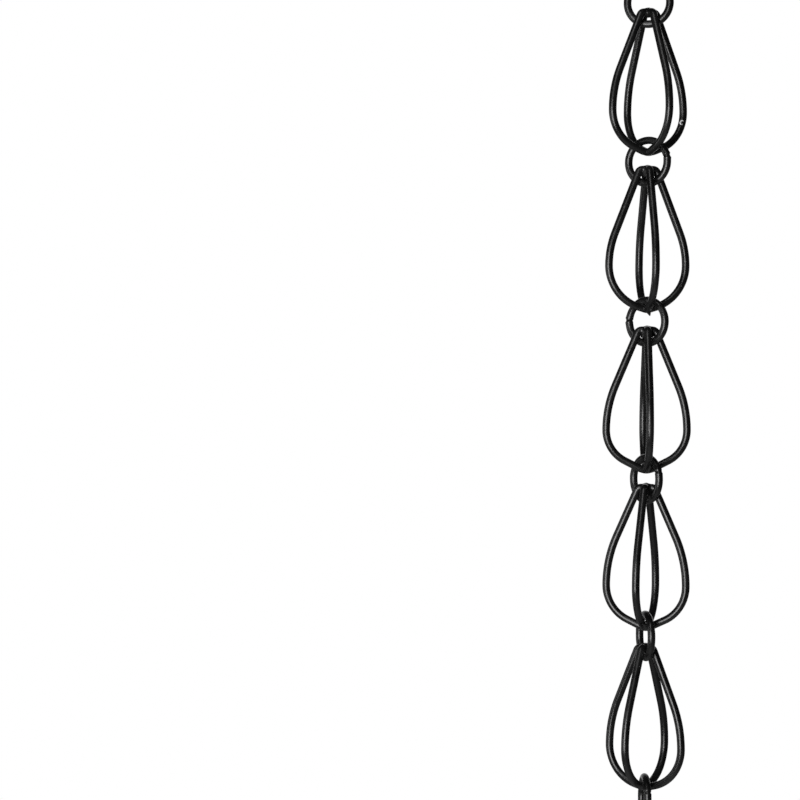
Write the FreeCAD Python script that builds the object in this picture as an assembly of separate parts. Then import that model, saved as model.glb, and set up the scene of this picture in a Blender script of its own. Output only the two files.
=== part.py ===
"""Rain chain: wire drops hung one below the other on wire rings.

Each drop is a cage of two crossed teardrops: a closed hoop, and two half ribs that butt against the
hoop at its crown and foot and are welded there. A ring goes through the neck of a drop under its crown,
and its top lies in the foot of the drop above.

Millimetres, +Z up. The origin is where a hook bears, inside the top of the top ring. The chain hangs
down the Z axis, and its front looks along -Y.
"""
import FreeCAD, Part
import math
import os

from FreeCAD import Vector

# Wire and rings
wire_diameter = 5.0
ring_inside_diameter = 23.7
ring_end_straight = 3.6
ring_seam_depth = 0.35

# Teardrop, to the middle of the wire
belly_half_width = 27.0
crown_to_belly = 64.6
crown_bend_inside_radius = 0.5
rib_crown_straight = 1.0
shoulder_radius = 70.0
foot_straight = 6.0
foot_slope = 20.0
foot_bend_inside_radius = 7.5

# Welds at crown and foot, beyond the wire's own radius
rib_fit_up_gap = 0.05
weld_fillet = 1.8
crown_weld_rise = 0.8
crown_weld_sag = 1.1
foot_weld_sink = 0.1
foot_weld_drip = 0.5

# Slack between a ring and the wires that it hangs on or carries
hang_gap = 0.3

# How far each piece is turned about Z, from the top down, in degrees
drop_turns = [31.0, 12.0, 5.0, -14.0, -29.0]
ring_turns = [-11.0, -27.0, -35.0, -54.0, -74.0, -82.0]

# Where each ring's seam lies, clockwise from its top as seen from the front, in degrees
ring_seams = [292.0, 76.0, 274.0, 70.0, 288.0, 66.0]

wire_radius = wire_diameter / 2
ring_radius = (ring_inside_diameter + wire_diameter) / 2
rib_start = wire_radius + rib_fit_up_gap
crown_half_flat = rib_start + rib_crown_straight
crown_bend_radius = wire_radius + crown_bend_inside_radius
foot_bend_radius = wire_radius + foot_bend_inside_radius
weld_reach = wire_radius + weld_fillet

# The bowl's arc goes from the belly to the sloping straight and the bend that end at the foot
foot_sine = math.sin(math.radians(foot_slope))
foot_cosine = math.cos(math.radians(foot_slope))
bowl_across = belly_half_width - foot_straight * foot_cosine - foot_bend_radius * foot_sine
bowl_radius = bowl_across / (1 - foot_sine)
foot_rise = foot_straight * foot_sine + foot_bend_radius * (1 - foot_cosine)
drop_height = crown_to_belly + bowl_radius * foot_cosine + foot_rise

origin = Vector(0, 0, 0)
x_axis = Vector(1, 0, 0)
y_axis = Vector(0, 1, 0)
z_axis = Vector(0, 0, 1)


def bend_wire(start, steps):
    """Feed and bend a wire in the XZ plane, from a start point and heading along +X.

    A step is (length, None) for a straight feed, or (radius, turn) for a clockwise bend.
    Returns the wire's solid and the edges of its centre-line.
    """
    point = start
    heading = Vector(x_axis)
    spans = []
    edges = []
    for size, turn in steps:
        if turn is None:
            end = point + heading * size
            spans.append(Part.makeCylinder(wire_radius, size, point, heading))
            edges.append(Part.makeLine(point, end))
        else:
            bend = FreeCAD.Rotation(y_axis, turn)
            half_bend = FreeCAD.Rotation(y_axis, turn / 2)
            centre = point + y_axis.cross(heading) * size
            section = Part.Face(Part.Wire(Part.makeCircle(wire_radius, point, heading)))
            spans.append(section.revolve(centre, y_axis, turn))
            middle = centre + half_bend.multVec(point - centre)
            end = centre + bend.multVec(point - centre)
            edges.append(Part.Arc(point, middle, end).toShape())
            heading = bend.multVec(heading)
        point = end
    return spans[0].multiFuse(spans[1:]).removeSplitter(), edges


def teardrop_half():
    """Half a teardrop in the XZ plane, from its crown at the origin round its +X side to its foot.

    Returns the solid and its centre-line's edges.
    """
    # The leg is the common tangent of the crown's bend and the shoulder's arc
    bend_centre = Vector(crown_half_flat, 0, -crown_bend_radius)
    shoulder_centre = Vector(belly_half_width - shoulder_radius, 0, -crown_to_belly)
    between = bend_centre - shoulder_centre
    radius_step = shoulder_radius - crown_bend_radius
    lean = math.degrees(math.atan2(between.z, between.x) - math.acos(radius_step / between.Length))
    leg_length = math.sqrt(between.Length ** 2 - radius_step ** 2)

    return bend_wire(origin, [
        (crown_half_flat, None),
        (crown_bend_radius, 90 - lean),
        (leg_length, None),
        (shoulder_radius, lean),
        (bowl_radius, 90 - foot_slope),
        (foot_straight, None),
        (foot_bend_radius, foot_slope),
    ])


def turned(shape, angle):
    """A copy of a shape, turned about the Z axis by an angle in degrees."""
    copy = shape.copy()
    copy.rotate(origin, z_axis, angle)
    return copy


def weld_bead(rise, sag):
    """A lens round the origin that reaches up by the rise and down by the sag, with a round rim."""
    caps = []
    for height, side in ((rise, 1), (sag, -1)):
        radius = (weld_reach ** 2 + height ** 2) / (2 * height)
        caps.append(Part.makeSphere(radius, Vector(0, 0, side * (height - radius))))
    return caps[0].common(caps[1])


def build_drop():
    """One drop with its crown at the origin: its pieces by name, and its centre-lines in one compound."""
    half, half_line = teardrop_half()
    hoop = half.fuse(turned(half, 180)).removeSplitter()
    # A rib is the same half, sawn off upright where it meets the hoop
    sawn_corner = Vector(-wire_diameter, -wire_diameter, -drop_height - wire_diameter)
    sawn_off = Part.makeBox(
        wire_diameter + rib_start, 2 * wire_diameter, drop_height + 2 * wire_diameter, sawn_corner)
    rib = half.cut(sawn_off)
    front_rib = turned(rib, -90)
    back_rib = turned(rib, 90)
    wires = [hoop, front_rib, back_rib]

    crown_bead = weld_bead(wire_radius + crown_weld_rise, wire_radius + crown_weld_sag)
    foot_bead = weld_bead(wire_radius - foot_weld_sink, wire_radius + foot_weld_drip)
    foot_bead.translate(Vector(0, 0, -drop_height))
    pieces = {
        "hoop": hoop,
        "front_rib": front_rib,
        "back_rib": back_rib,
        "crown_weld": crown_bead.cut(wires),
        "foot_weld": foot_bead.cut(wires),
    }
    lines = [turned(edge, quarter * 90) for quarter in range(4) for edge in half_line]
    return pieces, Part.makeCompound(lines)


def build_ring(seam_angle):
    """One ring in the XZ plane round the origin, with its butt weld at the seam angle.

    The wire's two ends stay straight where the bender lets go of them, so they meet at a corner. The
    weld between them is a plug that lies a little under the wire's own surface.
    """
    corner_half = math.degrees(math.atan2(ring_end_straight, ring_radius))
    ring = bend_wire(origin, [
        (ring_end_straight, None),
        (ring_radius, 360 - 2 * corner_half),
        (ring_end_straight, None),
    ])[0]
    plug = Part.makeSphere(wire_radius - ring_seam_depth)
    ring = ring.fuse(plug).removeSplitter()
    ring.translate(Vector(-ring_end_straight, 0, ring_radius))
    ring.rotate(origin, y_axis, corner_half + seam_angle)
    return ring


def ring_seat(lines, turn, ring_centre):
    """How far along Z a ring can go into its seat in a drop before it meets the drop's wires.

    The ring's centre is ring_centre(travel) in the drop's own frame, free at one ring radius of travel
    and blocked at none. The turn is the ring's, seen from the drop.
    """
    normal = FreeCAD.Rotation(z_axis, turn).multVec(y_axis)
    blocked, free = 0.0, ring_radius
    while free - blocked > 1e-4:
        travel = (blocked + free) / 2
        circle = Part.makeCircle(ring_radius, ring_centre(travel), normal)
        if circle.distToShape(lines)[0] < wire_diameter + hang_gap:
            blocked = travel
        else:
            free = travel
    return free


def neck_centre(depth):
    """A ring's centre when its lowest wire is at a depth under the crown."""
    return Vector(0, 0, ring_radius - depth)


def foot_centre(height):
    """A ring's centre when its highest wire is at a height over the foot."""
    return Vector(0, 0, height - drop_height - ring_radius)


def hang_chain(lines):
    """Heights of the rings' centres and of the drops' crowns, from the top down."""
    ring_heights = [-ring_inside_diameter / 2]
    crown_heights = []
    for drop_turn, upper_turn, lower_turn in zip(drop_turns, ring_turns, ring_turns[1:]):
        neck_depth = ring_seat(lines, upper_turn - drop_turn, neck_centre)
        crown = ring_heights[-1] - neck_centre(neck_depth).z
        crown_heights.append(crown)
        foot_height = ring_seat(lines, lower_turn - drop_turn, foot_centre)
        ring_heights.append(crown + foot_centre(foot_height).z)
    return ring_heights, crown_heights


def build_chain():
    """Every piece of the chain by name, in its place."""
    drop, lines = build_drop()
    ring_heights, crown_heights = hang_chain(lines)
    chain = {}
    for number, (height, turn, seam) in enumerate(zip(ring_heights, ring_turns, ring_seams), 1):
        ring = turned(build_ring(seam), turn)
        ring.translate(Vector(0, 0, height))
        chain[f"ring_{number}"] = ring
    for number, (height, turn) in enumerate(zip(crown_heights, drop_turns), 1):
        for name, shape in drop.items():
            piece = turned(shape, turn)
            piece.translate(Vector(0, 0, height))
            chain[f"drop_{number}_{name}"] = piece
    return chain


def main():
    """Build the chain and write one STEP file for each piece."""
    os.makedirs("parts", exist_ok=True)
    for name, shape in build_chain().items():
        shape.exportStep(f"parts/{name}.step")


main()
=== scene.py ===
"""Dress the rain chain as photographed: bent and welded wire under a satin black powder coat.

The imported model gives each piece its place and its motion. One node tree sweeps the wires along their bent
centre-lines, a second one grows the weld beads over the crossings, and a plain studio lights them.
Metres and degrees, with +Z up and the front towards -Y.
"""

import logging
import math
from dataclasses import dataclass, field
from enum import Enum

import bpy
import numpy as np
from mathutils import Matrix, Vector
from mathutils.kdtree import KDTree


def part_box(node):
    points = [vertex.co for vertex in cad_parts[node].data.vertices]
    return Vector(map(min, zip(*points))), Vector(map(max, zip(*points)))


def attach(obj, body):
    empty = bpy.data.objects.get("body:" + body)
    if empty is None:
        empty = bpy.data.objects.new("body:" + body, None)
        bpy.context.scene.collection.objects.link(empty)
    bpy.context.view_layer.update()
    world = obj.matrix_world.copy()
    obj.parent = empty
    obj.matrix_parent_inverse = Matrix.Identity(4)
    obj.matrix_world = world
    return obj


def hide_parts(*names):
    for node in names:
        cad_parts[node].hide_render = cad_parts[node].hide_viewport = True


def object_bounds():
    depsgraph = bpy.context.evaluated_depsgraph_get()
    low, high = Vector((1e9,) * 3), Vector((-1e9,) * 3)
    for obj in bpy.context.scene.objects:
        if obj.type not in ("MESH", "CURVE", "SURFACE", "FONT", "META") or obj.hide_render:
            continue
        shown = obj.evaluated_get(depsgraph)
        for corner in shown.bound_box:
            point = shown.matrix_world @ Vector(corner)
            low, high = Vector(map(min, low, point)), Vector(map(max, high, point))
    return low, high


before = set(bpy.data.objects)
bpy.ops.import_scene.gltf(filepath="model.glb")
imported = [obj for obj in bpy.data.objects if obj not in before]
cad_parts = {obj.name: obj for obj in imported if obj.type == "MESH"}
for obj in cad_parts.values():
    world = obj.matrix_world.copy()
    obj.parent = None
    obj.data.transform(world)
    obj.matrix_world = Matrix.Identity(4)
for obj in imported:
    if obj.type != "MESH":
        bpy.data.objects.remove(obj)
CAD_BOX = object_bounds()
MM = 0.001
WIRE_RADIUS = 2.5 * MM
COAT = 0.1 * MM
COATED_RADIUS = WIRE_RADIUS + COAT

# The mesh attributes that the node trees and the coat read
GIRTH = "girth"
RUB = "rub"

log = logging.getLogger("rain_chain")


class Slot(Enum):
    """The record's material slots."""

    WIRE = "wire_coat"
    WELD = "weld_coat"


class Crossing(Enum):
    """The two places where the wires of a drop are welded."""

    CROWN = "crown_weld"
    FOOT = "foot_weld"


class NodeDesk:
    """Adds and joins the nodes of one tree."""

    def __init__(self, tree: bpy.types.NodeTree) -> None:
        """Keep the tree that the nodes go into."""
        self.tree = tree

    def feed(self, socket: bpy.types.NodeSocket, value: object) -> None:
        """Link a socket to another node's output, or set its own value.

        Args:
            socket: The input to fill.
            value: An output socket to link, or a plain value.
        """
        if isinstance(value, bpy.types.NodeSocket):
            self.tree.links.new(value, socket)
        else:
            socket.default_value = value

    def add(
        self, kind: str, values: dict[str | int, object] | None = None, **settings: object
    ) -> bpy.types.Node:
        """Add one node.

        Args:
            kind: The node's type name.
            values: Input names or places, with what feeds them.
            settings: The node's own properties.

        Returns:
            The new node.
        """
        node = self.tree.nodes.new(kind)
        for name, setting in settings.items():
            setattr(node, name, setting)
        for place, value in (values or {}).items():
            self.feed(node.inputs[place], value)
        return node

    def math(self, operation: str, first: object, second: object = 0.0) -> bpy.types.NodeSocket:
        """Return the output of a math node with two operands."""
        return self.add("ShaderNodeMath", {0: first, 1: second}, operation=operation).outputs[0]

    def noise(self, place: bpy.types.NodeSocket, size: float, detail: float = 2.0) -> bpy.types.NodeSocket:
        """Return a noise whose features are about that size."""
        values = {"Vector": place, "Scale": 1 / size, "Detail": detail}
        return self.add("ShaderNodeTexNoise", values).outputs[0]

    def ramp(
        self, value: object, low: float, high: float, start: object = 0.0, end: object = 1.0
    ) -> bpy.types.NodeSocket:
        """Map a value smoothly and clamped from one range to another.

        Args:
            value: The socket to map.
            low: Where the range starts.
            high: Where the range ends.
            start: The result at and below low.
            end: The result at and above high.

        Returns:
            The mapped output.
        """
        values = {0: value, 1: low, 2: high, 3: start, 4: end}
        return self.add("ShaderNodeMapRange", values, interpolation_type="SMOOTHSTEP").outputs[0]

    def blend(self, share: object, first: object, second: object) -> bpy.types.NodeSocket:
        """Mix two colours.

        Args:
            share: How much of the second colour shows.
            first: The colour at a share of 0.
            second: The colour at a share of 1.

        Returns:
            The mixed colour.
        """
        # A mix node has sockets for each type of value, and these places are the colour ones
        values = {0: share, 6: first, 7: second}
        return self.add("ShaderNodeMix", data_type="RGBA", values=values).outputs[2]


def open_desk(owner: bpy.types.Material | bpy.types.World) -> NodeDesk:
    """Clear the nodes of a material or a world.

    Args:
        owner: The material or the world.

    Returns:
        The desk for its empty tree.
    """
    owner.use_nodes = True
    owner.node_tree.nodes.clear()
    return NodeDesk(owner.node_tree)


def add_object(name: str, data: bpy.types.ID) -> bpy.types.Object:
    """Put a new object in the scene.

    Args:
        name: The object's name.
        data: Its mesh, light or camera.

    Returns:
        The object.
    """
    added = bpy.data.objects.new(name, data)
    bpy.context.scene.collection.objects.link(added)
    return added


def grey(level: float) -> tuple[float, float, float, float]:
    """Return a neutral colour of that level."""
    return (level, level, level, 1.0)


@dataclass(frozen=True)
class PowderCoat:
    """A satin black powder coat with a sandy grain, specks, and rub marks where wires meet."""

    name: str
    deep: float = 0.003
    pale: float = 0.007
    worn: float = 0.06
    smooth: float = 0.24
    matt: float = 0.35
    worn_roughness: float = 0.3
    grain_size: float = 0.3 * MM
    grain_height: float = 0.016 * MM
    peel_size: float = 1.3 * MM
    peel_height: float = 0.05 * MM
    cloud_size: float = 14 * MM
    cloud_range: tuple[float, float] = (0.35, 0.65)
    cloud_gloss: float = 0.6
    peel_gloss: float = 0.4
    scratch_size: float = 0.55 * MM
    scratch_range: tuple[float, float] = (0.42, 0.62)
    speck_size: float = 1.9 * MM
    speck_edge: tuple[float, float] = (0.06, 0.1)
    speck_rarity: float = 0.8
    speck_level: float = 0.2
    specular: float = 0.5

    def specks(self, desk: NodeDesk, place: bpy.types.NodeSocket) -> bpy.types.NodeSocket:
        """Return a mask of a few small dust specks in the coat.

        Args:
            desk: Where the nodes go.
            place: The Object coordinates.

        Returns:
            1 on a speck, and 0 elsewhere.
        """
        cells = desk.add("ShaderNodeTexVoronoi", {"Vector": place, "Scale": 1 / self.speck_size})
        dot = desk.ramp(cells.outputs["Distance"], *self.speck_edge, start=1.0, end=0.0)
        chance = desk.add("ShaderNodeSeparateColor", {0: cells.outputs["Color"]}).outputs[0]
        return desk.math("MULTIPLY", dot, desk.math("GREATER_THAN", chance, self.speck_rarity))

    def build(self) -> bpy.types.Material:
        """Make the coat's node material.

        Returns:
            The material.
        """
        material = bpy.data.materials.new(self.name)
        desk = open_desk(material)
        place = desk.add("ShaderNodeTexCoord").outputs["Object"]

        clouds = desk.noise(place, self.cloud_size, detail=3.0)
        peel = desk.noise(place, self.peel_size)
        grain = desk.noise(place, self.grain_size, detail=1.0)
        scratches = desk.noise(place, self.scratch_size, detail=4.0)

        rub = desk.add("ShaderNodeAttribute", attribute_name=RUB).outputs["Fac"]
        wear = desk.math("MULTIPLY", rub, desk.ramp(scratches, *self.scratch_range))
        base = desk.blend(desk.ramp(clouds, *self.cloud_range), grey(self.deep), grey(self.pale))
        base = desk.blend(wear, base, grey(self.worn))
        base = desk.blend(self.specks(desk, place), base, grey(self.speck_level))

        cloud_share = desk.math("MULTIPLY", clouds, self.cloud_gloss)
        gloss = desk.math("ADD", cloud_share, desk.math("MULTIPLY", peel, self.peel_gloss))
        roughness = desk.ramp(gloss, *self.cloud_range, start=self.smooth, end=self.matt)
        roughness = desk.ramp(wear, 0.0, 1.0, roughness, self.worn_roughness)

        waves = desk.add("ShaderNodeBump", {"Distance": self.peel_height, "Height": peel})
        sand = {"Distance": self.grain_height, "Height": grain, "Normal": waves.outputs[0]}
        bumps = desk.add("ShaderNodeBump", sand)

        shader = desk.add("ShaderNodeBsdfPrincipled", {
            "Base Color": base,
            "Roughness": roughness,
            "Normal": bumps.outputs[0],
            "Specular IOR Level": self.specular,
        })
        desk.add("ShaderNodeOutputMaterial", {"Surface": shader.outputs[0]})
        return material


@dataclass(frozen=True)
class BareSteel:
    """Bright steel where the coat has chipped off."""

    name: str
    level: float = 0.85
    dull: float = 0.6
    scratch_size: float = 0.35 * MM
    scratch_range: tuple[float, float] = (0.3, 0.7)
    polished: float = 0.3
    scuffed: float = 0.5
    metallic: float = 0.2

    def build(self) -> bpy.types.Material:
        """Make the steel's node material.

        Returns:
            The material.
        """
        material = bpy.data.materials.new(self.name)
        desk = open_desk(material)
        place = desk.add("ShaderNodeTexCoord").outputs["Object"]
        scratches = desk.noise(place, self.scratch_size)
        shader = desk.add("ShaderNodeBsdfPrincipled", {
            "Base Color": desk.blend(scratches, grey(self.dull), grey(self.level)),
            "Roughness": desk.ramp(scratches, *self.scratch_range, start=self.polished, end=self.scuffed),
            "Metallic": self.metallic,
        })
        desk.add("ShaderNodeOutputMaterial", {"Surface": shader.outputs[0]})
        return material


@dataclass
class Line:
    """A stretch of wire: its centre-line's points and its radius at each of them."""

    points: np.ndarray
    girths: np.ndarray
    closed: bool = False

    def moved(self, matrix: Matrix) -> "Line":
        """Return the same wire in another place."""
        rotation = np.array(matrix.to_3x3())
        return Line(self.points @ rotation.T + np.array(matrix.translation), self.girths, self.closed)


def coated(share: np.ndarray) -> np.ndarray:
    """Return the wire's radius where a share of the coat is left, with soft ends."""
    left = np.clip(share, 0.0, 1.0)
    return WIRE_RADIUS + COAT * left ** 2 * (3 - 2 * left)


@dataclass
class Bender:
    """Feeds and bends a centre-line in the XZ plane, heading along +X at first."""

    start: Vector
    feed_step: float = 1.0 * MM
    bend_step: float = math.radians(5)
    points: list[Vector] = field(default_factory=list)

    def __post_init__(self) -> None:
        """Set out from the start point."""
        self.points.append(self.start.copy())
        self.heading = 0.0

    def feed(self, length: float) -> "Bender":
        """Feed the wire straight on.

        Args:
            length: How far.

        Returns:
            The bender, for the next step.
        """
        along = Vector((math.cos(self.heading), 0, -math.sin(self.heading)))
        count = max(1, round(length / self.feed_step))
        last = self.points[-1]
        self.points += [last + along * (length * step / count) for step in range(1, count + 1)]
        return self

    def bend(self, radius: float, turn: float) -> "Bender":
        """Bend the wire clockwise.

        Args:
            radius: The centre-line's radius.
            turn: The angle in degrees.

        Returns:
            The bender, for the next step.
        """
        angle = math.radians(turn)
        count = max(1, math.ceil(max(angle / self.bend_step, radius * angle / self.feed_step)))
        inward = Vector((-math.sin(self.heading), 0, -math.cos(self.heading)))
        centre = self.points[-1] + inward * radius
        for step in range(1, count + 1):
            way = self.heading + angle * step / count
            self.points.append(centre + Vector((math.sin(way), 0, math.cos(way))) * radius)
        self.heading += angle
        return self

    def array(self) -> np.ndarray:
        """Return the points as rows."""
        return np.array([tuple(point) for point in self.points])


def line_object(name: str, lines: list[Line]) -> bpy.types.Object:
    """Make an object of bare centre-lines for a node tree to work on.

    Args:
        name: The piece's name.
        lines: The stretches of wire.

    Returns:
        The object, with the radius of each point as an attribute.
    """
    edges: list[tuple[int, int]] = []
    first = 0
    for line in lines:
        count = len(line.points)
        edges += [(first + step, first + step + 1) for step in range(count - 1)]
        if line.closed:
            edges.append((first + count - 1, first))
        first += count
    mesh = bpy.data.meshes.new(name)
    mesh.from_pydata(np.concatenate([line.points for line in lines]).tolist(), edges, [])
    girths = mesh.attributes.new(GIRTH, "FLOAT", "POINT")
    girths.data.foreach_set("value", np.concatenate([line.girths for line in lines]).astype(np.float32))
    return add_object(name, mesh)


class PieceTree:
    """A Geometry Nodes tree with named inputs that turns centre-lines into a finished piece."""

    RIPPLE_DETAIL = 2.0
    NOISE_MEAN = 0.5

    def __init__(self, name: str, inputs: dict[str, str]) -> None:
        """Open the tree.

        Args:
            name: The tree's name.
            inputs: The name of each input, with its socket type.
        """
        self.tree = bpy.data.node_groups.new(name, "GeometryNodeTree")
        self.tree.interface.new_socket("Geometry", in_out="INPUT", socket_type="NodeSocketGeometry")
        for label, kind in inputs.items():
            self.tree.interface.new_socket(label, in_out="INPUT", socket_type=kind)
        self.tree.interface.new_socket("Geometry", in_out="OUTPUT", socket_type="NodeSocketGeometry")
        self.desk = NodeDesk(self.tree)
        self.inputs = self.desk.add("NodeGroupInput").outputs

    def tube(self) -> bpy.types.NodeSocket:
        """Sweep a tube along each centre-line, as thick as its girth attribute.

        Returns:
            The tubes, with closed ends.
        """
        girth = self.desk.add("GeometryNodeInputNamedAttribute", {"Name": GIRTH}, data_type="FLOAT")
        curve = self.desk.add("GeometryNodeMeshToCurve", {"Mesh": self.inputs["Geometry"]})
        profile = self.desk.add("GeometryNodeCurvePrimitiveCircle", {
            "Resolution": self.inputs["Profile Points"],
            "Radius": 1.0,
        })
        return self.desk.add("GeometryNodeCurveToMesh", {
            "Curve": curve.outputs[0],
            "Profile Curve": profile.outputs[0],
            "Scale": girth.outputs[0],
            "Fill Caps": True,
        }).outputs[0]

    def move(self, mesh: bpy.types.NodeSocket, values: dict[str, object]) -> bpy.types.NodeSocket:
        """Return the geometry with its points at a new Position or moved by an Offset."""
        return self.desk.add("GeometryNodeSetPosition", {"Geometry": mesh, **values}).outputs[0]

    def ripple(self, mesh: object, height: object, size: object) -> bpy.types.NodeSocket:
        """Raise and sink a surface by a noise.

        Args:
            mesh: The geometry.
            height: The ripple's height from trough to crest.
            size: About how long one ripple is.

        Returns:
            The rippled geometry.
        """
        desk = self.desk
        noise = desk.add("ShaderNodeTexNoise", {
            "W": self.inputs["Seed"],
            "Scale": desk.math("DIVIDE", 1.0, size),
            "Detail": self.RIPPLE_DETAIL,
        }, noise_dimensions="4D")
        lift = desk.math("MULTIPLY", desk.math("SUBTRACT", noise.outputs[0], self.NOISE_MEAN), height)
        offset = desk.add("ShaderNodeVectorMath", {
            0: desk.add("GeometryNodeInputNormal").outputs[0],
            "Scale": lift,
        }, operation="SCALE")
        return self.move(mesh, {"Offset": offset.outputs[0]})

    def close(self, geometry: bpy.types.NodeSocket) -> None:
        """Shade, realize and coat the geometry, and hand it out.

        Args:
            geometry: The piece's bare shape.
        """
        desk = self.desk
        smooth = desk.add("GeometryNodeSetShadeSmooth", {"Geometry": geometry}).outputs[0]
        real = desk.add("GeometryNodeRealizeInstances", {"Geometry": smooth}).outputs[0]
        finished = desk.add("GeometryNodeSetMaterial", {"Geometry": real, "Material": self.inputs["Coat"]})
        desk.add("NodeGroupOutput", {"Geometry": finished.outputs[0]})

    def run(self, piece: bpy.types.Object, values: dict[str, object]) -> None:
        """Turn a piece's centre-lines into its finished mesh.

        Args:
            piece: The object that holds the centre-lines.
            values: The tree's inputs by name.
        """
        modifier = piece.modifiers.new(self.tree.name, "NODES")
        modifier.node_group = self.tree
        for item in self.tree.interface.items_tree:
            if item.in_out == "INPUT" and item.name in values:
                modifier[item.identifier] = values[item.name]
        graph = bpy.context.evaluated_depsgraph_get()
        mesh = bpy.data.meshes.new_from_object(piece.evaluated_get(graph))
        piece.modifiers.remove(modifier)
        lines = piece.data
        piece.data = mesh
        bpy.data.meshes.remove(lines)
        mesh.name = piece.name
        settle(mesh)


def settle(mesh: bpy.types.Mesh) -> None:
    """Keep a finished mesh within the CAD model's box, with its faces outwards.

    Args:
        mesh: The mesh, which is changed.
    """
    points = np.empty(len(mesh.vertices) * 3)
    mesh.vertices.foreach_get("co", points)
    points = np.clip(points.reshape(-1, 3), CAD_BOX[0], CAD_BOX[1])
    mesh.vertices.foreach_set("co", points.ravel())
    mesh.update()
    mesh.calc_loop_triangles()
    corners = np.empty(len(mesh.loop_triangles) * 3, dtype=np.int32)
    mesh.loop_triangles.foreach_get("vertices", corners)
    first, second, third = (points - points.mean(axis=0))[corners.reshape(-1, 3)].transpose(1, 0, 2)
    if np.einsum("ij,ij->i", first, np.cross(second, third)).sum() < 0:
        mesh.flip_normals()


class WireTree(PieceTree):
    """Sweeps round wire along a centre-line, with the coat's soft waves and a few nibs in it."""

    # A nib's width, length and height, as shares of the nib radius
    LEAST_NIB = (0.4, 0.4, 0.15)
    LARGEST_NIB = (1.0, 1.0, 0.4)

    def __init__(self) -> None:
        """Build the tree."""
        super().__init__("swept_wire", {
            "Profile Points": "NodeSocketInt",
            "Wave Height": "NodeSocketFloat",
            "Wave Length": "NodeSocketFloat",
            "Nib Density": "NodeSocketFloat",
            "Nib Radius": "NodeSocketFloat",
            "Seed": "NodeSocketInt",
            "Coat": "NodeSocketMaterial",
        })
        wire = self.ripple(self.tube(), self.inputs["Wave Height"], self.inputs["Wave Length"])
        joined = self.desk.add("GeometryNodeJoinGeometry")
        for part in (self.nibs(wire), wire):
            self.desk.feed(joined.inputs[0], part)
        self.close(joined.outputs[0])

    def nibs(self, wire: bpy.types.NodeSocket) -> bpy.types.NodeSocket:
        """Scatter small flat grains of powder over the wire.

        Args:
            wire: The swept wire.

        Returns:
            The grains.
        """
        desk = self.desk
        spots = desk.add("GeometryNodeDistributePointsOnFaces", {
            "Mesh": wire,
            "Density": self.inputs["Nib Density"],
            "Seed": self.inputs["Seed"],
        })
        grain = desk.add("GeometryNodeMeshIcoSphere", {
            "Radius": self.inputs["Nib Radius"],
            "Subdivisions": 1,
        })
        spread = desk.add("FunctionNodeRandomValue", {
            "Min": self.LEAST_NIB,
            "Max": self.LARGEST_NIB,
            "Seed": self.inputs["Seed"],
        }, data_type="FLOAT_VECTOR")
        return desk.add("GeometryNodeInstanceOnPoints", {
            "Points": spots.outputs["Points"],
            "Instance": grain.outputs[0],
            "Rotation": spots.outputs["Rotation"],
            "Scale": spread.outputs[0],
        }).outputs[0]


class BeadTree(PieceTree):
    """Grows one weld bead over stubs of wire that cross: they run together and their corners fill."""

    BAND_VOXELS = 3.0
    SKIN_THRESHOLD = 0.1

    def __init__(self) -> None:
        """Build the tree."""
        super().__init__("weld_bead", {
            "Profile Points": "NodeSocketInt",
            "Voxel": "NodeSocketFloat",
            "Flow": "NodeSocketInt",
            "Lump Height": "NodeSocketFloat",
            "Lump Length": "NodeSocketFloat",
            "Seed": "NodeSocketInt",
            "Coat": "NodeSocketMaterial",
        })
        desk = self.desk
        voxel = self.inputs["Voxel"]
        volume = desk.add("GeometryNodeMeshToVolume", {
            "Mesh": self.tube(),
            "Voxel Size": voxel,
            "Interior Band Width": desk.math("MULTIPLY", voxel, self.BAND_VOXELS),
        }, resolution_mode="VOXEL_SIZE")
        skin = desk.add("GeometryNodeVolumeToMesh", {
            "Volume": volume.outputs[0],
            "Voxel Size": voxel,
            "Threshold": self.SKIN_THRESHOLD,
        }, resolution_mode="VOXEL_SIZE").outputs[0]
        flowed = desk.add("GeometryNodeBlurAttribute", {
            "Value": desk.add("GeometryNodeInputPosition").outputs[0],
            "Iterations": self.inputs["Flow"],
        }, data_type="FLOAT_VECTOR")
        skin = self.move(skin, {"Position": flowed.outputs[0]})
        self.close(self.ripple(skin, self.inputs["Lump Height"], self.inputs["Lump Length"]))


@dataclass(frozen=True)
class BeadRun:
    """How a weld ran: how far it swells and sags, how smoothly it flowed and how lumpy it froze.

    A full one also has a plug that fills the hollow under the crown.
    """

    bulge: float
    sag: float
    flow: int
    lump: float
    lump_length: float = 2.6 * MM
    plug_radius: float = 0.0
    plug_depth: float = 0.0


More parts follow.
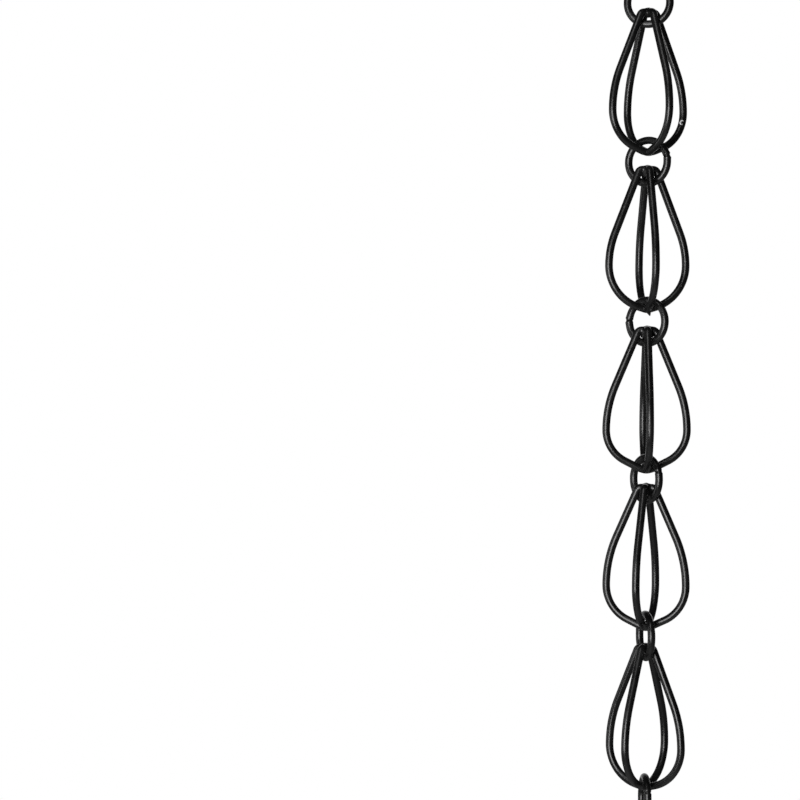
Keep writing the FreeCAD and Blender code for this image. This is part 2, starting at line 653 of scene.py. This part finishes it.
@dataclass
class Workshop:
    """The node trees and finishes that every piece is made with."""

    profile_points: int = 32
    wave_height: float = 0.05 * MM
    wave_length: float = 4.0 * MM
    nib_density: float = 9000.0
    nib_radius: float = 0.22 * MM
    voxel: float = 0.2 * MM

    def __post_init__(self) -> None:
        """Build the trees and the finishes."""
        self.wire_tree = WireTree()
        self.bead_tree = BeadTree()
        self.wire_coat = PowderCoat("black_powder_coat").build()
        over_weld = PowderCoat("powder_coat_over_weld", smooth=0.22, matt=0.34, peel_height=0.16 * MM)
        self.weld_coat = over_weld.build()
        self.steel = BareSteel("bare_steel").build()

    def wire(self, node: str, body: str, line: Line, seed: int) -> bpy.types.Object:
        """Sweep one wire in place of its CAD node.

        Args:
            node: The CAD node's name.
            body: The body that it rides on.
            line: The wire's centre-line.
            seed: Where its coat's noise starts.

        Returns:
            The finished piece.
        """
        piece = line_object(f"{node}_wire", [line])
        self.wire_tree.run(piece, {
            "Profile Points": self.profile_points,
            "Wave Height": self.wave_height,
            "Wave Length": self.wave_length,
            "Nib Density": self.nib_density,
            "Nib Radius": self.nib_radius,
            "Seed": seed,
            "Coat": self.wire_coat,
        })
        return self.mount(piece, node, body)

    def bead(self, node: str, body: str, stubs: list[Line], run: BeadRun, seed: int) -> bpy.types.Object:
        """Grow one weld bead in place of its CAD node.

        Args:
            node: The CAD node's name.
            body: The body that it rides on.
            stubs: The wire ends that it runs over, as thick as the bead is there.
            run: How the weld ran.
            seed: Where its lumps' noise starts.

        Returns:
            The finished piece.
        """
        piece = line_object(f"{node}_bead", stubs)
        self.bead_tree.run(piece, {
            "Profile Points": self.profile_points,
            "Voxel": self.voxel,
            "Flow": run.flow,
            "Lump Height": run.lump,
            "Lump Length": run.lump_length,
            "Seed": seed,
            "Coat": self.weld_coat,
        })
        return self.mount(piece, node, body)

    def mount(self, piece: bpy.types.Object, node: str, body: str) -> bpy.types.Object:
        """Put a finished piece in place of its CAD node and report it.

        Args:
            piece: The finished piece.
            node: The CAD node that it stands for.
            body: The body that it rides on.

        Returns:
            The same piece.
        """
        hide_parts(node)
        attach(piece, body)
        log.info("%s: %d faces on %s", piece.name, len(piece.data.polygons), body)
        return piece


@dataclass
class Ring:
    """One ring of wire, closed by a butt weld between two straight ends."""

    number: int
    turn: float
    seam: float
    radius: float = 14.35 * MM
    end_straight: float = 3.6 * MM
    seam_depth: float = 0.35 * MM
    seam_reach: float = 0.55 * MM
    lip_height: float = 0.08 * MM
    lip_place: float = 1.3 * MM
    lip_reach: float = 0.5 * MM
    seam_step: float = 0.25 * MM
    round_step: float = 1.0 * MM
    rubbed_height: float = 7.0 * MM
    rub_fade: float = 5.0 * MM

    @property
    def name(self) -> str:
        """The ring's node and body."""
        return f"ring_{self.number}"

    def centre_line(self) -> Line:
        """Bend the ring and put it in its place.

        Returns:
            The closed centre-line, thinner in the seam and thicker at the lips beside it. The coat is
            rubbed thin at the top, which lies in the foot of the drop above.
        """
        corner = math.atan2(self.end_straight, self.radius)
        bender = Bender(Vector((0, 0, 0)), feed_step=self.seam_step)
        bender.feed(self.end_straight)
        bender.feed_step = self.round_step
        bender.bend(self.radius, 360 - 2 * math.degrees(corner))
        bender.feed_step = self.seam_step
        points = bender.feed(self.end_straight).array()[:-1]

        off_seam = np.linalg.norm(points, axis=1)
        groove = self.seam_depth * np.exp(-((off_seam / self.seam_reach) ** 2))
        lips = self.lip_height * np.exp(-(((off_seam - self.lip_place) / self.lip_reach) ** 2))

        low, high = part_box(self.name)
        middle = (low.z + high.z) / 2
        place = Matrix.Translation((0, 0, middle))
        place @= Matrix.Rotation(math.radians(self.turn), 4, "Z")
        place @= Matrix.Rotation(corner + math.radians(self.seam), 4, "Y")
        place @= Matrix.Translation((-self.end_straight, 0, self.radius))
        line = Line(points, lips - groove, closed=True).moved(place)
        left = (self.rubbed_height + middle - line.points[:, 2]) / self.rub_fade
        line.girths = line.girths + coated(left)
        return line


@dataclass(frozen=True)
class HandBend:
    """The bends that come out a little different on each drop, because it is bent by hand."""

    belly_half_width: float = 27.0 * MM
    shoulder_radius: float = 70.0 * MM
    foot_straight: float = 6.0 * MM
    foot_slope: float = 20.0
    foot_bend_radius: float = 10.0 * MM

    def slope(self) -> tuple[float, float]:
        """Return the sine and the cosine of the foot's slope."""
        return math.sin(math.radians(self.foot_slope)), math.cos(math.radians(self.foot_slope))

    @property
    def bowl_radius(self) -> float:
        """The arc that goes from the belly to the sloping straight at the foot.

        Returns:
            The centre-line's radius.
        """
        sine, cosine = self.slope()
        across = self.belly_half_width - self.foot_straight * cosine - self.foot_bend_radius * sine
        return across / (1 - sine)

    @property
    def bowl_depth(self) -> float:
        """From the belly down to the foot.

        Returns:
            The height between the wire's middles.
        """
        sine, cosine = self.slope()
        rise = self.foot_straight * sine + self.foot_bend_radius * (1 - cosine)
        return self.bowl_radius * cosine + rise


@dataclass
class Drop:
    """One drop: a cage of two crossed teardrops, welded at its crown and its foot."""

    number: int
    turn: float
    hoop_bend: HandBend
    rib_bend: HandBend = HandBend()
    crown_half_flat: float = 3.55 * MM
    crown_bend_radius: float = 3.0 * MM
    rib_start: float = 2.55 * MM
    rubbed_height: float = 16.0 * MM
    rub_fade: float = 10.0 * MM
    bead_stub: float = 5.6 * MM
    bead_steps: int = 23
    bead_reach: float = 2.7 * MM
    bead_tuck: float = 0.14 * MM
    crown_run: BeadRun = BeadRun(bulge=0.9 * MM, sag=0.0, flow=10, lump=0.5 * MM)
    foot_run: BeadRun = BeadRun(bulge=0.12 * MM, sag=0.15 * MM, flow=2, lump=0.25 * MM)

    @property
    def name(self) -> str:
        """The drop's body."""
        return f"drop_{self.number}"

    @property
    def height(self) -> float:
        """From the crown to the foot, between the wire's middles."""
        low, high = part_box(f"{self.name}_hoop")
        return high.z - low.z - 2 * WIRE_RADIUS

    def place(self) -> Matrix:
        """Return where the drop's crown is and how it is turned."""
        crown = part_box(f"{self.name}_hoop")[1].z - WIRE_RADIUS
        return Matrix.Translation((0, 0, crown)) @ Matrix.Rotation(math.radians(self.turn), 4, "Z")

    def half(self, bend: HandBend) -> np.ndarray:
        """Bend half a teardrop round its +X side.

        Args:
            bend: How this wire is bent.

        Returns:
            The centre-line's points, from the crown to the foot.
        """
        across = self.crown_half_flat - bend.belly_half_width + bend.shoulder_radius
        down = self.height - bend.bowl_depth - self.crown_bend_radius
        span = math.hypot(across, down)
        step = bend.shoulder_radius - self.crown_bend_radius
        lean = math.degrees(math.atan2(down, across) - math.acos(step / span))
        leg = math.sqrt(span ** 2 - step ** 2)

        bender = Bender(Vector((0, 0, 0)))
        bender.feed(self.crown_half_flat).bend(self.crown_bend_radius, 90 - lean).feed(leg)
        bender.bend(bend.shoulder_radius, lean).bend(bend.bowl_radius, 90 - bend.foot_slope)
        return bender.feed(bend.foot_straight).bend(bend.foot_bend_radius, bend.foot_slope).array()

    def rib(self) -> np.ndarray:
        """Saw the half off at both ends, where it meets the hoop.

        Returns:
            The centre-line's points, from the crown to the foot.
        """
        half = self.half(self.rib_bend)
        kept = np.where(half[:, 0] > self.rib_start)[0]
        ends = []
        for inner, outer in ((kept[0], kept[0] - 1), (kept[-1], kept[-1] + 1)):
            share = (half[inner, 0] - self.rib_start) / (half[inner, 0] - half[outer, 0])
            ends.append(half[inner] + share * (half[outer] - half[inner]))
        return np.vstack([ends[0], half[kept], ends[1]])

    def wires(self) -> dict[str, Line]:
        """Put the hoop and its two ribs in place, with the coat rubbed thin round the foot.

        Returns:
            The centre-lines by node name.
        """
        half = self.half(self.hoop_bend)
        loop = np.concatenate([half[:-1], (half * (-1, 1, 1))[:0:-1]])
        rib = self.rib()
        quarter = math.radians(90)
        lines = {
            "hoop": (loop, 0.0, True),
            "front_rib": (rib, -quarter, False),
            "back_rib": (rib, quarter, False),
        }
        placed = {}
        for part, (points, turn, closed) in lines.items():
            left = (points[:, 2] + self.height - self.rubbed_height) / self.rub_fade
            line = Line(points, coated(left), closed)
            placed[f"{self.name}_{part}"] = line.moved(self.place() @ Matrix.Rotation(turn, 4, "Z"))
        return placed

    def weld(self, crossing: Crossing) -> BeadRun:
        """Return how the weld at a crossing ran."""
        return self.crown_run if crossing is Crossing.CROWN else self.foot_run

    def stubs(self, crossing: Crossing) -> list[Line]:
        """Take the wires near a crossing, as thick as the weld is over them.

        Args:
            crossing: Which end of the drop.

        Returns:
            One stretch along the hoop and one along the ribs, in place, and the plug of a full weld.
        """
        at_crown = crossing is Crossing.CROWN
        weld = self.weld(crossing)
        ways = np.linspace(0.0, self.bead_stub, self.bead_steps)
        near = np.exp(-((ways / self.bead_reach) ** 2))
        girths = coated(np.full(self.bead_steps, float(at_crown)))
        girths += weld.bulge * near - self.bead_tuck * (ways / self.bead_stub) ** 2
        stubs = []
        for bend, turn in ((self.hoop_bend, 0), (self.rib_bend, 90)):
            half = self.half(bend) if at_crown else self.half(bend)[::-1]
            run = np.concatenate([[0.0], np.cumsum(np.linalg.norm(np.diff(half, axis=0), axis=1))])
            arm = np.column_stack([np.interp(ways, run, half[:, axis]) for axis in range(3)])
            arm[:, 2] -= weld.sag * near
            points = np.concatenate([(arm * (-1, 1, 1))[:0:-1], arm])
            line = Line(points, np.concatenate([girths[:0:-1], girths]))
            stubs.append(line.moved(self.place() @ Matrix.Rotation(math.radians(turn), 4, "Z")))
        if weld.plug_depth > 0:
            stubs.append(self.plug(weld))
        return stubs

    def plug(self, weld: BeadRun) -> Line:
        """Fill the hollow under the crown.

        Args:
            weld: How the weld ran.

        Returns:
            The plug's upright centre-line, in place.
        """
        depths = np.linspace(0.0, weld.plug_depth, self.bead_steps)
        girths = np.full(self.bead_steps, weld.plug_radius)
        return Line(np.outer(depths, (0.0, 0.0, -1.0)), girths).moved(self.place())


@dataclass
class Drip:
    """A thin run of weld that froze as a spike under one drop's foot."""

    drop: Drop
    root: tuple[float, float, float] = (0.7 * MM, -1.0 * MM, -1.0 * MM)
    aside: float = 1.3 * MM
    length: float = 3.8 * MM
    root_radius: float = 1.75 * MM
    tip_radius: float = 0.22 * MM
    taper: float = 1.5
    steps: int = 15

    def line(self) -> Line:
        """Draw the spike out of the weld.

        Returns:
            Its centre-line and thickness, from inside the weld to its tip.
        """
        foot = self.drop.place().translation - Vector((0, 0, self.drop.height))
        ways = np.linspace(0.0, 1.0, self.steps)
        points = np.array(foot) + self.root + np.outer(ways, (self.aside, 0.0, -self.length))
        return Line(points, self.root_radius + (self.tip_radius - self.root_radius) * ways ** self.taper)


@dataclass
class CoatChip:
    """A small crescent where the coat has chipped off a wire."""

    height: float
    aside: float = -0.1 * MM
    radius: float = 1.3 * MM
    half_width: float = 0.5 * MM
    tip_half_width: float = 0.02 * MM
    opening: float = 100.0
    proud: float = 0.04 * MM
    sunk: float = 0.15 * MM
    steps: int = 28

    def seat(self, wire: Line) -> tuple[Vector, Vector, Vector, Vector]:
        """Find the chip's place on the right-hand side of a wire.

        Args:
            wire: The wire's centre-line.

        Returns:
            The wire's middle there, and the ways along the wire, across it to the right, and to the front.
        """
        right = np.where(wire.points[:, 0] > 0)[0]
        spot = right[np.argmin(np.abs(wire.points[right, 2] - self.height))]
        along = (Vector(wire.points[spot + 1]) - Vector(wire.points[spot - 1])).normalized()
        across = along.cross(Vector((0, -1, 0))).normalized()
        if across.x < 0:
            across.negate()
        outward = across.cross(along).normalized()
        if outward.y > 0:
            outward.negate()
        return Vector(wire.points[spot]), along, across, outward

    def sections(self, wire: Line) -> list[list[Vector]]:
        """Lay the crescent's lens-shaped sections round the front of a wire.

        Args:
            wire: The wire's centre-line.

        Returns:
            The four corners of each section, from one tip of the crescent to the other.
        """
        middle, along, across, outward = self.seat(wire)
        sweep = math.radians(360 - self.opening) / 2
        sections: list[list[Vector]] = []
        for step in range(self.steps + 1):
            angle = -sweep + 2 * sweep * step / self.steps
            width = self.half_width * math.sqrt(max(0.0, 1 - (angle / sweep) ** 2)) + self.tip_half_width
            corners = []
            for wide, lift in ((-width, 0.0), (0.0, self.proud), (width, 0.0), (0.0, -self.sunk)):
                reach = self.radius + wide
                round_wire = (self.aside + reach * math.cos(angle + math.pi)) / COATED_RADIUS
                out = outward * math.cos(round_wire) + across * math.sin(round_wire)
                point = middle + along * (reach * math.sin(angle + math.pi))
                corners.append(point + out * (COATED_RADIUS + lift))
            sections.append(corners)
        return sections

    def build(self, name: str, wire: Line, material: bpy.types.Material) -> bpy.types.Object:
        """Skin the crescent's sections.

        Args:
            name: The piece's name.
            wire: The wire's centre-line.
            material: The bare metal.

        Returns:
            The finished piece.
        """
        sections = self.sections(wire)
        sides = len(sections[0])
        faces: list[tuple[int, ...]] = []
        for first in range(0, sides * self.steps, sides):
            for side in range(sides):
                after = (side + 1) % sides
                faces.append((first + side, first + after, first + sides + after, first + sides + side))
        last = sides * self.steps
        faces += [tuple(reversed(range(sides))), tuple(range(last, last + sides))]
        mesh = bpy.data.meshes.new(name)
        mesh.from_pydata([tuple(corner) for corners in sections for corner in corners], [], faces)
        mesh.materials.append(material)
        settle(mesh)
        return add_object(name, mesh)


@dataclass
class Chain:
    """The whole chain, from its top ring down to its tail ring."""

    ring_turns: tuple[float, ...] = (-11.0, -27.0, -35.0, -54.0, -74.0, -82.0)
    ring_seams: tuple[float, ...] = (292.0, 76.0, 274.0, 70.0, 288.0, 66.0)
    open_seam_depth: float = 0.7 * MM
    open_seams: tuple[int, ...] = (2, 3)
    drop_turns: tuple[float, ...] = (31.0, 12.0, 5.0, -14.0, -29.0)
    # Belly half width, shoulder radius, foot straight, foot slope and foot bend radius
    hoop_bends: tuple[HandBend, ...] = (
        HandBend(27.3 * MM, 71 * MM, 5.5 * MM, 22.0, 16 * MM),
        HandBend(26.0 * MM, 60 * MM, 2.5 * MM, 17.5, 11 * MM),
        HandBend(26.9 * MM, 77 * MM, 10 * MM, 27.0, 12 * MM),
        HandBend(27.2 * MM, 80 * MM, 9 * MM, 25.0, 11 * MM),
        HandBend(27.1 * MM, 76 * MM, 5 * MM, 14.0, 10 * MM),
    )
    full_crowns: tuple[int, ...] = (2, 3, 4)
    full_crown_run: BeadRun = BeadRun(
        bulge=1.3 * MM, sag=0.5 * MM, flow=14, lump=0.5 * MM, plug_radius=4.4 * MM, plug_depth=5.0 * MM)
    dripping_drop: int = 2
    chipped_drop: int = 1
    chip_height: float = -91.0 * MM
    seeds_per_drop: int = 10
    rub_full: float = 0.7 * MM
    rub_end: float = 2.6 * MM
    lines: dict[str, dict[str, Line]] = field(default_factory=dict)
    pieces: dict[str, list[bpy.types.Object]] = field(default_factory=dict)

    def build(self, shop: Workshop) -> None:
        """Make every ring and drop, from the top down.

        Args:
            shop: The trees and finishes.
        """
        for number, (turn, seam) in enumerate(zip(self.ring_turns, self.ring_seams), 1):
            ring = Ring(number, turn, seam)
            if number in self.open_seams:
                ring.seam_depth = self.open_seam_depth
            self.build_ring(shop, ring)
        for number, (turn, bend) in enumerate(zip(self.drop_turns, self.hoop_bends), 1):
            drop = Drop(number, turn, bend)
            if number in self.full_crowns:
                drop.crown_run = self.full_crown_run
            self.build_drop(shop, drop)
        self.rub_neighbours()

    def rub_neighbours(self) -> None:
        """Mark each ring and the drops above and below it where they rub on each other."""
        for number in range(1, len(self.ring_turns) + 1):
            ring = f"ring_{number}"
            for drop in (f"drop_{number - 1}", f"drop_{number}"):
                if drop in self.pieces:
                    self.rub(ring, drop)
                    self.rub(drop, ring)

    def build_ring(self, shop: Workshop, ring: Ring) -> None:
        """Make one ring.

        Args:
            shop: The trees and finishes.
            ring: The ring.
        """
        line = ring.centre_line()
        self.lines[ring.name] = {ring.name: line}
        self.pieces[ring.name] = [shop.wire(ring.name, ring.name, line, seed=ring.number)]

    def build_drop(self, shop: Workshop, drop: Drop) -> None:
        """Make one drop with its wires and welds, and the drip and the chip where it has them.

        Args:
            shop: The trees and finishes.
            drop: The drop.
        """
        lines = drop.wires()
        self.lines[drop.name] = lines
        seed = self.seeds_per_drop * drop.number
        self.pieces[drop.name] = [
            shop.wire(node, drop.name, line, seed + place)
            for place, (node, line) in enumerate(lines.items())
        ]
        for crossing in Crossing:
            stubs = drop.stubs(crossing)
            if crossing is Crossing.FOOT and drop.number == self.dripping_drop:
                stubs.append(Drip(drop).line())
            shop.bead(f"{drop.name}_{crossing.value}", drop.name, stubs, drop.weld(crossing), seed)
        if drop.number == self.chipped_drop:
            hoop = lines[f"{drop.name}_hoop"]
            chip = CoatChip(self.chip_height).build(f"{drop.name}_chip", hoop, shop.steel)
            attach(chip, drop.name)
            log.info("%s: %d faces on %s", chip.name, len(chip.data.polygons), drop.name)

    def rub(self, body: str, other: str) -> None:
        """Mark where a body's wires rub on another body's.

        Args:
            body: The body that is marked.
            other: The body that it lies against.
        """
        points = np.concatenate([line.points for line in self.lines[other].values()])
        tree = KDTree(len(points))
        for index, point in enumerate(points):
            tree.insert(point, index)
        tree.balance()
        for piece in self.pieces[body]:
            mesh = piece.data
            away = np.array([tree.find(vertex.co)[2] for vertex in mesh.vertices]) - WIRE_RADIUS
            mark = np.clip((self.rub_end - away) / (self.rub_end - self.rub_full), 0.0, 1.0)
            layer = mesh.attributes.get(RUB) or mesh.attributes.new(RUB, "FLOAT", "POINT")
            kept = np.empty(len(mesh.vertices), dtype=np.float32)
            layer.data.foreach_get("value", kept)
            layer.data.foreach_set("value", np.maximum(kept, mark).astype(np.float32))


@dataclass(frozen=True)
class Softbox:
    """A soft light: where it hangs, its width and height, and how bright its face is, where 1 is white."""

    name: str
    place: tuple[float, float, float]
    size: tuple[float, float]
    radiance: float

    def build(self, aim: tuple[float, float, float]) -> None:
        """Hang the softbox.

        Args:
            aim: The point that it faces.
        """
        light = bpy.data.lights.new(self.name, "AREA")
        light.shape = "RECTANGLE"
        light.size, light.size_y = self.size
        light.energy = self.radiance * math.pi * self.size[0] * self.size[1]
        lamp = add_object(self.name, light)
        lamp.location = self.place
        way = Vector(aim) - Vector(self.place)
        lamp.rotation_euler = way.to_track_quat("-Z", "Y").to_euler()
        lamp.visible_camera = False


@dataclass
class Studio:
    """A white cyclorama and floor, a big softbox at the front left with two weak fills, and the camera."""

    floor_height: float = -1.75
    floor_size: float = 12.0
    floor_colour: float = 0.8
    floor_glow: float = 0.97
    floor_gleam: float = 0.01
    fill_level: float = 0.08
    front_level: float = 0.02
    mirrored_edge: tuple[float, float] = (0.7, 0.97)
    softboxes: tuple[Softbox, ...] = (
        Softbox("left_softbox", place=(-0.62, -1.5, -0.36), size=(0.8, 1.0), radiance=9.5),
        Softbox("side_fill", place=(-1.5, -0.1, -0.4), size=(0.8, 1.0), radiance=1.2),
        Softbox("top_fill", place=(-0.4, -1.1, 0.85), size=(0.6, 0.6), radiance=3.2),
    )
    aim: tuple[float, float, float] = (0.0, 0.0, -0.36)
    lens: float = 117.0
    sensor: float = 36.0
    frame_pixels: float = 800.0
    chain_pixel: float = 646.7
    pixels_per_metre: float = 1500.0
    eye_height: float = -0.2776
    roll: float = 0.29

    def build(self) -> None:
        """Set up the whole studio."""
        self.build_world()
        self.build_floor()
        for softbox in self.softboxes:
            softbox.build(self.aim)
        self.build_camera()
        bpy.context.scene.view_settings.view_transform = "Standard"

    def white_rays(self, desk: NodeDesk) -> tuple[bpy.types.NodeSocket, bpy.types.NodeSocket]:
        """Sort out the rays that see the white background itself.

        Args:
            desk: Where the nodes go.

        Returns:
            1 for rays straight or through something clear from the camera, and 1 for rays off a gloss.
        """
        path = desk.add("ShaderNodeLightPath").outputs
        seen = desk.math("MAXIMUM", path["Is Camera Ray"], path["Is Transmission Ray"])
        return seen, path["Is Glossy Ray"]

    def build_world(self) -> None:
        """Make a white cyclorama behind the chain in a dim room."""
        world = bpy.data.worlds.new("cyclorama")
        bpy.context.scene.world = world
        desk = open_desk(world)
        seen, glossy = self.white_rays(desk)
        way = desk.add("ShaderNodeTexCoord").outputs["Generated"]
        behind = desk.add("ShaderNodeSeparateXYZ", {0: way}).outputs["Y"]
        mirrored = desk.ramp(behind, *self.mirrored_edge, start=self.front_level)
        level = desk.ramp(glossy, 0.0, 1.0, self.fill_level, mirrored)
        level = desk.math("MAXIMUM", level, seen)
        shader = desk.add("ShaderNodeBackground", {"Color": grey(1.0), "Strength": level})
        desk.add("ShaderNodeOutputWorld", {"Surface": shader.outputs[0]})

    def build_floor(self) -> None:
        """Lay a pale floor under the tail, which shows white and keeps a shadow."""
        half = self.floor_size / 2
        mesh = bpy.data.meshes.new("floor")
        corners = [(-half, -half), (half, -half), (half, half), (-half, half)]
        mesh.from_pydata([(x, y, self.floor_height) for x, y in corners], [], [(0, 1, 2, 3)])
        material = bpy.data.materials.new("pale_floor")
        desk = open_desk(material)
        seen, glossy = self.white_rays(desk)
        matt = desk.add("ShaderNodeBsdfDiffuse", {"Color": grey(self.floor_colour)})
        level = desk.ramp(glossy, 0.0, 1.0, self.floor_glow, self.floor_gleam)
        glow = desk.add("ShaderNodeEmission", {"Color": grey(1.0), "Strength": level})
        both = desk.add("ShaderNodeAddShader", {0: matt.outputs[0], 1: glow.outputs[0]})
        white = desk.math("MAXIMUM", seen, glossy)
        mix = desk.add("ShaderNodeMixShader", {0: white, 1: matt.outputs[0], 2: both.outputs[0]})
        desk.add("ShaderNodeOutputMaterial", {"Surface": mix.outputs[0]})
        mesh.materials.append(material)
        floor = add_object("floor", mesh)

    def build_camera(self) -> None:
        """Stand the camera straight in front, turned so that the chain is where the photograph has it."""
        camera = bpy.data.cameras.new("camera")
        camera.lens = self.lens
        camera.sensor_width = self.sensor
        eye = add_object("camera", camera)
        focal_pixels = self.frame_pixels * self.lens / self.sensor
        pan = math.atan2(self.chain_pixel - self.frame_pixels / 2, focal_pixels)
        distance = focal_pixels / self.pixels_per_metre / math.cos(pan)
        stand = Matrix.Translation((0, -distance, self.eye_height))
        stand @= Matrix.Rotation(pan, 4, "Z") @ Matrix.Rotation(math.radians(90), 4, "X")
        eye.matrix_world = stand @ Matrix.Rotation(math.radians(self.roll), 4, "Z")
        bpy.context.scene.camera = eye


def main() -> None:
    """Build the chain and its studio."""
    logging.basicConfig(level=logging.INFO, format="%(message)s")
    Chain().build(Workshop())
    Studio().build()


if __name__ == "__main__":
    main()
